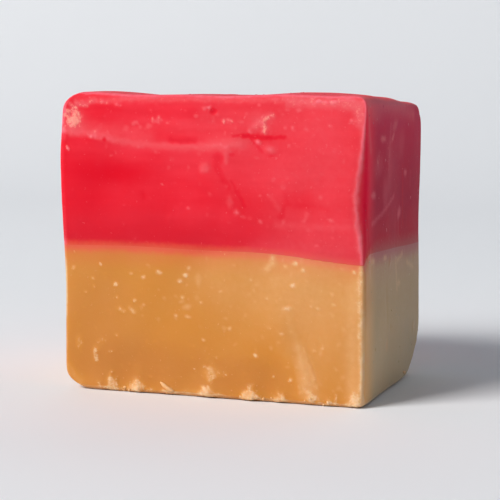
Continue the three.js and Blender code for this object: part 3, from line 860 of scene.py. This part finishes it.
# Curls of fudge that the knife left: the face, the places along each, and half its width
CURLS = [
    ("front", [(-5.45, 1.35), (-4.9, 0.95), (-4.3, 0.6), (-3.8, 0.45)], 0.24),
    ("right", [(4.2, 1.0), (4.9, 0.75), (5.7, 0.8)], 0.2),
    ("left", [(-6.0, 3.2), (-5.5, 2.8), (-4.6, 2.6)], 0.22),
    ("back", [(3.0, 7.6), (3.9, 7.3), (4.6, 7.5)], 0.22),
    ("left", [(4.0, 24.5), (4.4, 24.0), (4.3, 23.3)], 0.2),
    ("back", [(-6.4, 21.5), (-5.9, 21.0), (-5.2, 20.9)], 0.2),
]


def points_and_faces(piece):
    """The points and faces of a model that is to be copied. The model itself is removed."""
    shape = array_of(piece, "co").astype(float), [tuple(face.vertices) for face in piece.data.polygons]
    bpy.data.objects.remove(piece)
    return shape


def model_lumps(count, unevenness, seed):
    """Models a few crumb shapes, each an uneven ball of radius 1, and gives their points and faces."""
    lumps = []
    for number in range(seed, seed + count):
        lump = add_primitive(bpy.ops.mesh.primitive_uv_sphere_add, segments=8, ring_count=6, radius=1)
        in_edit_mode(
            lump,
            lambda: bpy.ops.transform.vertex_random(offset=unevenness, uniform=0.6, normal=0.4, seed=number),
            lambda: bpy.ops.mesh.vertices_smooth(factor=0.3),
        )
        lumps.append(points_and_faces(lump))
    return lumps


def model_sliver():
    """Models a straight sliver along Z, from 0 to 1, six-sided, of radius 1 and tapered at its ends."""
    radii = [0.3, 0.75, 1.0, 0.9, 1.05, 0.85, 0.7, 0.25]
    sliver = add_primitive(bpy.ops.mesh.primitive_circle_add, vertices=6, radius=radii[0], fill_type="NGON")

    def grow(share):
        extrude_up(1 / (len(radii) - 1))
        bpy.ops.transform.resize(value=(share, share, 1), center_override=(0, 0, 0))

    in_edit_mode(
        sliver,
        *(lambda share=after / before: grow(share) for before, after in zip(radii, radii[1:])),
        face_outwards,
    )
    return points_and_faces(sliver)


def join_copies(name, copies, material):
    """Makes one piece of copies, each given by its points and its faces."""
    points, faces, start = [], [], 0
    for places, sides in copies:
        places[:, 2] = np.maximum(places[:, 2], 0)
        points.append(places)
        faces += [tuple(start + index for index in side) for side in sides]
        start += len(places)
    mesh = bpy.data.meshes.new(name)
    mesh.from_pydata(np.concatenate(points).tolist(), [], faces)
    piece = add_object(name, mesh)
    only(piece)
    bpy.ops.object.shade_smooth()
    dress(piece, material)
    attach(piece, "root")
    return piece


def on_surface(piece, face, across, up):
    """The place on a face of a layer, and the outward direction there, or None if nothing is there."""
    axis, side, (u, v) = FACES[face]
    middle = (*MIDDLE, 0)
    start, way = Vector(), Vector()
    start[u], start[v] = (across + middle[u]) * MM, (up + middle[v]) * MM
    start[axis] = side * 2 * HEIGHT * MM
    way[axis] = -side
    hit, place, normal, _ = piece.ray_cast(start, way)
    return (place, normal) if hit else None


def turned(normal, spin):
    """A turn that points Z along a direction, spun about it."""
    return np.array(normal.to_track_quat("Z", "Y").to_matrix() @ Matrix.Rotation(spin, 3, "Z"))


def lay_lumps(piece, lumps, spots, rng, flat):
    """Copies of the lumps, pressed half into a layer. A spot is a face, a place on it and a size, and flat
    is how thick a copy is as a share of its size."""
    copies = []
    for face, across, up, size in spots:
        found = on_surface(piece, face, across, up)
        if found is None:
            continue
        place, normal = found
        points, faces = lumps[rng.integers(len(lumps))]
        shape = size * MM * np.array([rng.uniform(0.9, 1.6), rng.uniform(0.8, 1.2), flat])
        copies.append((points * shape @ turned(normal, rng.uniform(0, 6.3)).T + place, faces))
    return copies


def strewn(rng, count, low, high, sizes, faces=("right", "left", "back")):
    """Seeded spots between two heights on these walls. Sizes are the squares of what is drawn between the
    two given, so that small ones are the most."""
    clear = 0.6
    spots = []
    for _ in range(count):
        face = faces[rng.integers(len(faces))]
        half = (WIDTH if face in ("front", "back") else DEPTH) / 2 - clear
        spots.append((face, rng.uniform(-half, half), rng.uniform(low, high), rng.uniform(*sizes) ** 2))
    return spots


class FUDGE_OT_specks(bpy.types.Operator):
    """Strew specks of sugar over both layers"""

    bl_idname = "fudge.specks"
    bl_label = "Sugar specks"

    def execute(self, context):
        shape, colours = context.scene.fudge_shape, context.scene.fudge_colours
        rng = np.random.default_rng(shape.seed)
        lumps = model_lumps(count=3, unevenness=0.35, seed=shape.seed)
        # The specks' first colours are the right end's colours in painted shade and sheen
        sugar = lump_finish("sugar_finish", colours.caramel_painted_shade_low, colours.sugar, 0.5)
        pink_sugar = lump_finish("pink_sugar_finish", colours.red_painted_shade_high, colours.pink_sugar, 0.5)
        # Each layer, the heights between which specks lie on its walls, and their finish
        walls = ("caramel_fudge", 2, 15, sugar), ("red_fudge", 16.5, 31, pink_sugar)
        for layer, low, high, finish in walls:
            spots = strewn(rng, shape.specks, low, high, (0.22, 0.42))
            if layer == "red_fudge":
                spots += [("top", rng.uniform(-15, 15), rng.uniform(-12, 12), rng.uniform(0.24, 0.42) ** 2)
                          for _ in range(shape.specks // 3)]
            copies = lay_lumps(bpy.data.objects[layer], lumps, spots, rng, flat=0.3)
            specks = join_copies(layer.replace("fudge", "specks"), copies, finish)
        return {"FINISHED"}


class FUDGE_OT_crumbs(bpy.types.Operator):
    """Press crumbs into the base edge"""

    bl_idname = "fudge.crumbs"
    bl_label = "Base crumbs"

    def execute(self, context):
        shape, colours = context.scene.fudge_shape, context.scene.fudge_colours
        rng = np.random.default_rng(shape.seed + 1)
        footed = [mark for mark in CARAMEL_FRONT_MARKS if isinstance(mark, Crust) and mark.foot]
        spots = [("front", crust.place[0] + rng.normal(0, crust.size[0] * 0.6),
                  abs(rng.normal(0, 0.25)) + 0.12, rng.uniform(0.28, 0.42) ** 2)
                 for crust in footed for _ in range(CRUMBS_A_CRUST)]
        spots += strewn(rng, shape.crumbs, 0.1, 0.9, (0.3, 0.54), ("left", "back"))
        lumps = model_lumps(count=4, unevenness=0.6, seed=shape.seed + 10)
        copies = lay_lumps(bpy.data.objects["caramel_fudge"], lumps, spots, rng, flat=0.4)
        finish = lump_finish("crumb_finish", colours.caramel_pale, colours.caramel_crust, 0.6)
        join_copies("base_crumbs", copies, finish)
        return {"FINISHED"}


def bend_sliver(points, stops, outward, half_width):
    """The sliver's points led along the stops, lying flat on the surface and bulging in the middle."""
    shares = np.linspace(0, 1, len(stops))

    def along(share):
        return np.stack([np.interp(share, shares, stops[:, axis]) for axis in range(3)], 1)

    sideways = np.cross(along(points[:, 2] + 0.1) - along(points[:, 2] - 0.1), outward)
    sideways /= np.linalg.norm(sideways, axis=1)[:, None]
    size = half_width * MM
    bulge = size * 0.2 * np.sin(points[:, 2] * math.pi)
    places = along(points[:, 2]) + sideways * points[:, :1] * size
    return places + outward * (points[:, 1:2] * size * 0.45 + bulge[:, None])


class FUDGE_OT_curls(bpy.types.Operator):
    """Lay the small curls that the knife left"""

    bl_idname = "fudge.curls"
    bl_label = "Knife curls"

    def execute(self, context):
        colours = context.scene.fudge_colours
        fresh_and_dry = {
            "red_fudge": (colours.red_pale, colours.red_crust),
            "caramel_fudge": (colours.caramel_pale, colours.caramel_crust),
        }
        points, faces = model_sliver()
        for layer in fresh_and_dry:
            piece = bpy.data.objects[layer]
            copies = []
            for face, path, half_width in CURLS:
                if (path[0][1] > SEAM_HEIGHT) != (layer == "red_fudge"):
                    continue
                found = [on_surface(piece, face, *place) for place in path]
                stops = np.array([place for place, _ in found])
                outward = np.array(sum((normal for _, normal in found), Vector()).normalized())
                copies.append((bend_sliver(points, stops, outward, half_width), faces))
            finish = lump_finish(layer.replace("fudge", "curl_finish"), *fresh_and_dry[layer], 0.5)
            join_copies(layer.replace("fudge", "curls"), copies, finish)
        return {"FINISHED"}


# ----------------------------------------------------------------------------- finishes

# How deep, in millimetres, the finest grain is that only the light shows
GRAIN_DEPTH = 0.03


class Socket:
    """A value, colour or vector in a finish. Sums and products of it add the nodes that work them out."""

    def __init__(self, finish, socket):
        self.finish, self.socket = finish, socket

    def __add__(self, other):
        return self.finish.math("ADD", self, other)

    def __sub__(self, other):
        return self.finish.math("SUBTRACT", self, other)

    def __rsub__(self, other):
        return self.finish.math("SUBTRACT", other, self)

    def __mul__(self, other):
        return self.finish.math("MULTIPLY", self, other)

    __radd__ = __add__
    __rmul__ = __mul__


class Finish:
    """A material, built up node by node."""

    def __init__(self, name):
        self.material = bpy.data.materials.new(name)
        self.material.use_nodes = True
        self.tree = self.material.node_tree
        self.tree.nodes.clear()
        place = self.node("ShaderNodeTexCoord", output="Object")
        self.place = self.node("ShaderNodeVectorMath", {"operation": "SCALE"}, {0: place, "Scale": 1 / MM})

    def node(self, kind, settings=None, inputs=None, output=0):
        """Adds a node, sets it up, and feeds its sockets with values or links."""
        node = self.tree.nodes.new(kind)
        for name, value in (settings or {}).items():
            setattr(node, name, value)
        for key, value in (inputs or {}).items():
            if isinstance(value, Socket):
                self.tree.links.new(value.socket, node.inputs[key])
            else:
                node.inputs[key].default_value = value
        return Socket(self, node.outputs[output]) if node.outputs else None

    def math(self, operation, *values):
        return self.node("ShaderNodeMath", {"operation": operation}, dict(enumerate(values)))

    def clamp(self, value):
        return self.node("ShaderNodeClamp", None, {"Value": value})

    def rise(self, value, start, end):
        """0 below start, 1 above end, and a smooth slope between."""
        return self.node("ShaderNodeMapRange", {"interpolation_type": "SMOOTHSTEP"},
                         {"Value": value, "From Min": start, "From Max": end})

    def mix(self, share, first, second):
        """The first colour, or the second where the share is 1."""
        return self.node("ShaderNodeMix", {"data_type": "RGBA"}, {0: share, 6: first, 7: second}, 2)

    def attribute(self, name):
        return self.node("ShaderNodeAttribute", {"attribute_name": name}, output="Fac")

    def noise(self, size, detail=2.0, stretch=(1, 1, 1), shift=0.0, roughness=0.5):
        """Cloudy noise from 0 to 1, its lumps about a size in millimetres, stretched along the axes."""
        place = self.node("ShaderNodeVectorMath", {"operation": "MULTIPLY_ADD"},
                          {0: self.place, 1: [1 / (size * s) for s in stretch], 2: [shift] * 3})
        return self.node("ShaderNodeTexNoise", None,
                         {"Vector": place, "Scale": 1.0, "Detail": detail, "Roughness": roughness})

    def finish(self, base, roughness, height, depth, settings):
        """Ends the finish in a surface. depth is how deep in millimetres the height of 0 to 1 is."""
        bump = self.node("ShaderNodeBump", None, {"Height": height, "Distance": depth * MM, "Strength": 1.0})
        surface = self.node("ShaderNodeBsdfPrincipled", None,
                            {"Base Color": base, "Roughness": roughness, "Normal": bump, **settings})
        self.node("ShaderNodeOutputMaterial", None, {"Surface": surface})
        return self.material


def waxy(glow, depth, reach, specular, bloom=0.0):
    """The constant settings of a waxy sweet that glows a little within. depth is how deep the light goes in
    millimetres, reach the share of it for each colour, and bloom how much fine dry sugar lies on it."""
    return {
        "Sheen Weight": bloom,
        "Sheen Roughness": 0.4,
        "Sheen Tint": (0.8, 0.92, 1.0, 1.0),
        "Subsurface Weight": glow,
        "Subsurface Radius": reach,
        "Subsurface Scale": depth * MM,
        "IOR": 1.45,
        "Specular IOR Level": specular,
    }


def red_finish(colours):
    f = Finish("red_fudge_finish")
    rubbed, dry, haze, end, painted_end_shade, from_seam = (f.attribute(name) for name in BODY_ATTRIBUTES)
    bands = f.noise(1.8, 3, (6, 6, 1), 3.7)
    cloud = f.noise(6, 3)
    fine = f.noise(0.5, 3, shift=9.1)
    grit = f.noise(0.16, 2, shift=4.3)

    # Fresh red, with a painted glow over the right end for light coming through the corner from the front,
    # and painted shade and sheen over the end behind the front, lighter near the top
    base = f.mix(0.3 + f.rise(cloud * 0.7 + bands * 0.5, 0.4, 0.8) * 0.7, colours.red_deep, colours.red)
    base = f.mix(end * 0.9, base, colours.red_painted_glow)
    painted_shade_colour = f.mix(f.rise(from_seam + (cloud - 0.5) * 5, 6, 15), colours.red_painted_shade, colours.red_painted_shade_high)
    base = f.mix(painted_end_shade * (0.7 + cloud * 0.4), base, painted_shade_colour)
    # Deep marks, partly painted shade, painted shade darker towards the foot of the layer, and the blend
    # into the caramel under it, in painted shade and sheen on the right end
    deeper, lighter = f.clamp(haze * -1), f.clamp(haze)
    base = f.mix(deeper, base, colours.red_deep)
    low = 1 - f.rise(from_seam + (cloud - 0.5) * 3, 0, 6)
    base = f.mix(low * 0.5 * (1 - lighter), base, colours.red_low)
    edge = (from_seam + (fine - 0.5) * 0.35 + (cloud - 0.5) * 0.4) * (1 - painted_end_shade * 0.5)
    base = f.mix(1 - f.rise(edge, -0.3, 0.85), base, f.mix(painted_end_shade, colours.seam, colours.seam_painted_shade))
    # Pale smears, partly painted light, and in painted shade and sheen on the right end, then rubbed edges,
    # flecks of sugar and dry flakes
    base = f.mix(lighter * (0.55 + fine * 0.5), base, f.mix(painted_end_shade, colours.red_pale, colours.red_pale_painted_shade))
    worn = f.clamp(rubbed * (0.35 + fine * 1.0)) * (1 - deeper) * (1 - f.rise(end, 0.1, 0.7) * 0.75)
    base = f.mix(worn * 0.6, base, colours.red_rubbed)
    flecks = f.noise(0.3, 2, shift=15.2) + lighter * 0.07 + f.noise(9, 1, shift=7.2) * 0.08
    flecks = f.rise(flecks, 0.72, 0.82)
    base = f.mix(flecks * 0.4, base, colours.red_pale)
    flaky = f.rise(dry + (fine - 0.5) * 1.1 + (grit - 0.5) * 0.8, 0.3, 0.9)
    base = f.mix(flaky * 0.8, base, colours.red_crust)

    roughness = 0.44 + fine * 0.12 + flaky * 0.25
    height = (fine * 0.5 + grit * 0.25 + flaky * grit * 0.9 + flecks * 0.4) * (1 - painted_end_shade * 0.5)
    wax = waxy(glow=0.35, depth=0.9, reach=(1.0, 0.08, 0.1), specular=0.04)
    return f.finish(base, roughness, height, GRAIN_DEPTH, wax)


def caramel_finish(colours):
    f = Finish("caramel_fudge_finish")
    rubbed, dry, haze, end, painted_end_shade, from_seam = (f.attribute(name) for name in BODY_ATTRIBUTES)
    cloud = f.noise(8, 3, shift=2.2)
    fine = f.noise(0.55, 3, shift=7.7)
    grit = f.noise(0.17, 2, shift=1.9)

    # Fresh caramel, a little clouded, with a painted glow over the right end, strongest low down, and
    # painted shade and sheen over the end behind the front, lighter near the base
    base = f.mix(f.rise(cloud + fine * 0.15, 0.45, 0.85) * 0.16, colours.caramel, colours.caramel_pale)
    base = f.mix(end * (0.25 + f.rise(from_seam, -4, -8) * 0.65), base, colours.caramel_painted_glow)
    low = f.rise(from_seam + (cloud - 0.5) * 4, -5, -13)
    painted_shade_colour = f.mix(low, colours.caramel_painted_shade, colours.caramel_painted_shade_low)
    base = f.mix(painted_end_shade * (0.7 + cloud * 0.4), base, painted_shade_colour)
    # Deep marks, partly painted shade, and the red that has run into the top of the layer, in painted shade
    # and sheen on the right end
    deeper = f.clamp(haze * -1)
    base = f.mix(deeper, base, colours.caramel_deep)
    edge = (from_seam + (fine - 0.5) * 0.35 + (cloud - 0.5) * 0.5) * (1 - painted_end_shade * 0.4)
    run = f.mix(painted_end_shade, colours.seam_low, colours.seam_low_painted_shade)
    base = f.mix(f.rise(edge, -3.0, -0.2) * 0.3, base, run)
    base = f.mix(f.rise(edge, -1.1, -0.05), base, run)
    # Pale smears, partly painted light, then rubbed edges, flecks of sugar and dry flakes
    base = f.mix(f.clamp(haze) * (0.55 + fine * 0.5), base, colours.caramel_pale)
    broken_up = 0.2 + f.rise(cloud, 0.4, 0.62) * 0.8
    worn = f.rise(rubbed * (0.5 + fine * 0.9), 0.35, 1.1) * (1 - deeper) * broken_up
    base = f.mix(worn * 0.65, base, colours.caramel_rubbed)
    flecks = f.rise(f.noise(0.34, 2, shift=11.6) + f.noise(5, 1, shift=3.2) * 0.1, 0.72, 0.83)
    base = f.mix(flecks * 0.4, base, colours.caramel_pale)
    flaky = f.rise(dry + (fine - 0.5) * 1.1 + (grit - 0.5) * 0.8, 0.28, 0.9)
    base = f.mix(flaky * 0.85, base, colours.caramel_crust)

    roughness = 0.46 + fine * 0.12 + flaky * 0.25
    height = (fine * 0.5 + grit * 0.3 + flaky * grit * 0.9 + flecks * 0.4) * (1 - painted_end_shade * 0.5)
    wax = waxy(glow=0.3, depth=0.8, reach=(1.0, 0.5, 0.2), specular=0.7, bloom=0.15)
    return f.finish(base, roughness, height, GRAIN_DEPTH, wax)


def lump_finish(name, first, second, roughness):
    """The finish of something small: two colours broken up by a fine grain."""
    f = Finish(name)
    grit = f.noise(0.18, 3)
    base = f.mix(f.rise(f.noise(1.1, 2, shift=6.4) + grit * 0.3, 0.5, 0.9), first, second)
    wax = waxy(glow=0, depth=0.1, reach=(1.0, 0.5, 0.3), specular=0.4)
    return f.finish(base, roughness + grit * 0.15, grit, GRAIN_DEPTH * 2 / 3, wax)


def floor_finish(colours):
    f = Finish("floor_finish")
    soft = f.noise(60, 2)
    base = f.mix(soft * 0.06, colours.floor, colour(255, 255, 255))
    return f.finish(base, 0.75 + soft * 0.05, f.noise(0.8, 2), GRAIN_DEPTH / 3, {"Specular IOR Level": 0.3})


# ----------------------------------------------------------------------------- the stage

CAMERA_PLACE = (53.95, -157.87, 30.0)
CAMERA_AIM = (0.25, 0.03, 14.6)
CAMERA_ROLL = 0.45
CAMERA_LENS = 106.0
CAMERA_CLIP = 10.0
# Each lamp: its name, place, size, watts and colour
LAMPS = (
    ("key_lamp", (-800, -1000, 980), 700, 28.3, (1.0, 0.985, 0.965)),
    ("sheen_lamp", (350, 620, 160), 350, 0.5, (0.95, 0.98, 1.0)),
)
SKY_COLOUR, SKY_STRENGTH = (0.62, 0.82, 1.0, 1.0), 0.17
# The sweep: its floor, which starts behind the camera and lies just under the cube, its wall and its bend
FLOOR_WIDTH, FLOOR_DEPTH, FLOOR_MIDDLE, FLOOR_HEIGHT = 20000, 10700, -4650, -0.02
WALL_HEIGHT, BEND = 900, 400


def aim(thing, place, target, roll=0.0):
    """Puts a camera or lamp at a place, looking at a target, rolled clockwise by so many degrees."""
    place, target = Vector(place) * MM, Vector(target) * MM
    facing = (target - place).to_track_quat("-Z", "Y").to_matrix()
    turn = facing @ Matrix.Rotation(math.radians(roll), 3, "Z")
    thing.matrix_world = Matrix.Translation(place) @ turn.to_4x4()


def add_lamp(name, place, size, watts, tint):
    data = bpy.data.lights.new(name, "AREA")
    data.size, data.energy, data.color = size * MM, watts, tint
    aim(add_object(name, data), place, (0, 0, HEIGHT / 2))


def model_sweep():
    """A floor that curves up into a backdrop."""
    sweep = add_primitive(bpy.ops.mesh.primitive_plane_add, size=1,
                          location=(0, FLOOR_MIDDLE * MM, FLOOR_HEIGHT * MM))
    sweep.scale = (FLOOR_WIDTH * MM, FLOOR_DEPTH * MM, 1)
    settle(sweep, "sweep")
    far = max(vertex.co.y for vertex in sweep.data.vertices)

    def at_back(edge):
        """Whether an edge of the floor is its far one."""
        ends = [sweep.data.vertices[index].co for index in edge.vertices]
        return all(end.y > far - MM and end.z < MM for end in ends)

    in_edit_mode(
        sweep,
        lambda: select_parts(sweep, "EDGE", at_back),
        lambda: extrude_up(WALL_HEIGHT * MM),
        lambda: select_parts(sweep, "EDGE", at_back),
        lambda: bpy.ops.mesh.bevel(offset=BEND * MM, segments=24),
    )
    only(sweep)
    bpy.ops.object.shade_smooth()
    return sweep


class FUDGE_OT_stage(bpy.types.Operator):
    """Set the sweep, the lamps and the camera"""

    bl_idname = "fudge.stage"
    bl_label = "Stage"

    def execute(self, context):
        sweep = model_sweep()
        dress(sweep, floor_finish(context.scene.fudge_colours))
        for lamp in LAMPS:
            add_lamp(*lamp)
        world = bpy.data.worlds.new("studio")
        world.use_nodes = True
        sky = world.node_tree.nodes["Background"].inputs
        sky["Color"].default_value, sky["Strength"].default_value = SKY_COLOUR, SKY_STRENGTH
        context.scene.world = world
        context.scene.view_settings.view_transform = "Standard"
        camera = add_object("camera", bpy.data.cameras.new("camera"))
        camera.data.lens = CAMERA_LENS
        camera.data.clip_start = CAMERA_CLIP * MM
        aim(camera, CAMERA_PLACE, CAMERA_AIM, CAMERA_ROLL)
        context.scene.camera = camera
        return {"FINISHED"}


class FUDGE_PT_panel(bpy.types.Panel):
    """Lists the steps that make the cube"""

    bl_label = "Fudge cube"
    bl_space_type = "VIEW_3D"
    bl_region_type = "UI"
    bl_category = "Fudge"

    def draw(self, context):
        for group in (context.scene.fudge_shape, context.scene.fudge_colours):
            for name in group.__annotations__:
                self.layout.prop(group, name)
        for step in STEPS:
            self.layout.operator(step.bl_idname)


STEPS = (FUDGE_OT_layers, FUDGE_OT_specks, FUDGE_OT_crumbs, FUDGE_OT_curls, FUDGE_OT_stage)
CLASSES = (FudgeShape, FudgeColours, *STEPS, FUDGE_PT_panel)


def register():
    for each in CLASSES:
        bpy.utils.register_class(each)
    bpy.types.Scene.fudge_shape = PointerProperty(type=FudgeShape)
    bpy.types.Scene.fudge_colours = PointerProperty(type=FudgeColours)


def unregister():
    del bpy.types.Scene.fudge_colours
    del bpy.types.Scene.fudge_shape
    for each in reversed(CLASSES):
        bpy.utils.unregister_class(each)


def main():
    register()
    bpy.ops.fudge.layers()
    bpy.ops.fudge.specks()
    bpy.ops.fudge.crumbs()
    bpy.ops.fudge.curls()
    bpy.ops.fudge.stage()


if __name__ == "__main__":
    main()
